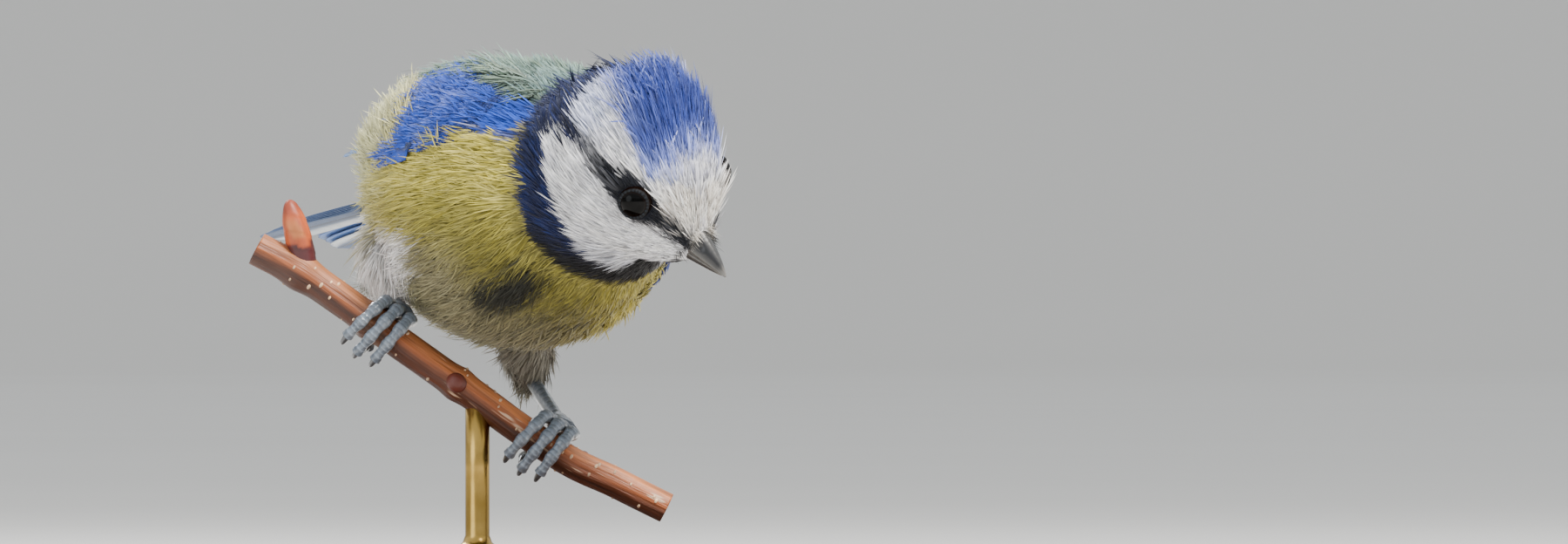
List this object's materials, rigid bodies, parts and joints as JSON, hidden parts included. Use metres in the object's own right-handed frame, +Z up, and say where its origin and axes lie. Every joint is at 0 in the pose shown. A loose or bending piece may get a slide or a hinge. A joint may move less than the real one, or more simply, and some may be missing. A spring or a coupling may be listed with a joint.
{
  "type": "blue tit model on display perch",
  "caption": "Life-size model of a small blue and yellow songbird gripping a cut twig, head bowed, held above a round wooden base by a thin brass rod",
  "frame": {"origin": "centre of the stand's flat underside", "axes": "+Z up; the perch lies along X, falling towards +X; the bird comes towards -Y, the viewer's side, with its tail towards +Y"},
  "size_m": [0.076, 0.1081, 0.0657],
  "materials": {
    "plumage_head": "soft short plumage, blue cap, white cheek",
    "plumage_collar": "soft plumage, blue-black to green-grey",
    "plumage_body": "soft fluffy plumage, yellow below, green-grey above",
    "plumage_thigh": "soft white plumage",
    "flight_feathers": "smooth vaned feathers, blue edges on slate",
    "bill_horn": "satin horn",
    "claw_horn": "satin horn",
    "eye": "wet gloss",
    "leg_skin": "scaly satin skin, slate blue",
    "bark": "smooth young bark",
    "stand_wood": "satin varnish",
    "stand_brass": "satin"
  },
  "bodies": {
    "root": {"bill_upper": "bill_horn", "bill_lower": "bill_horn", "eye_left": "eye", "eye_right": "eye", "head": "plumage_head", "trunk": "plumage_body", "neck": "plumage_collar", "tail": "flight_feathers", "wing_left": "flight_feathers", "wing_right": "flight_feathers", "perch": "bark", "thigh_right": "plumage_thigh", "tarsus_right": "leg_skin", "toe_right_1": "leg_skin", "claw_right_1": "claw_horn", "toe_right_2": "leg_skin", "claw_right_2": "claw_horn", "toe_right_3": "leg_skin", "claw_right_3": "claw_horn", "toe_right_4": "leg_skin", "claw_right_4": "claw_horn", "thigh_left": "plumage_thigh", "tarsus_left": "leg_skin", "toe_left_1": "leg_skin", "claw_left_1": "claw_horn", "toe_left_2": "leg_skin", "claw_left_2": "claw_horn", "toe_left_3": "leg_skin", "claw_left_3": "claw_horn", "toe_left_4": "leg_skin", "claw_left_4": "claw_horn", "stand_base": "stand_wood", "stand_rod": "stand_brass"}
  },
  "joints": []
}
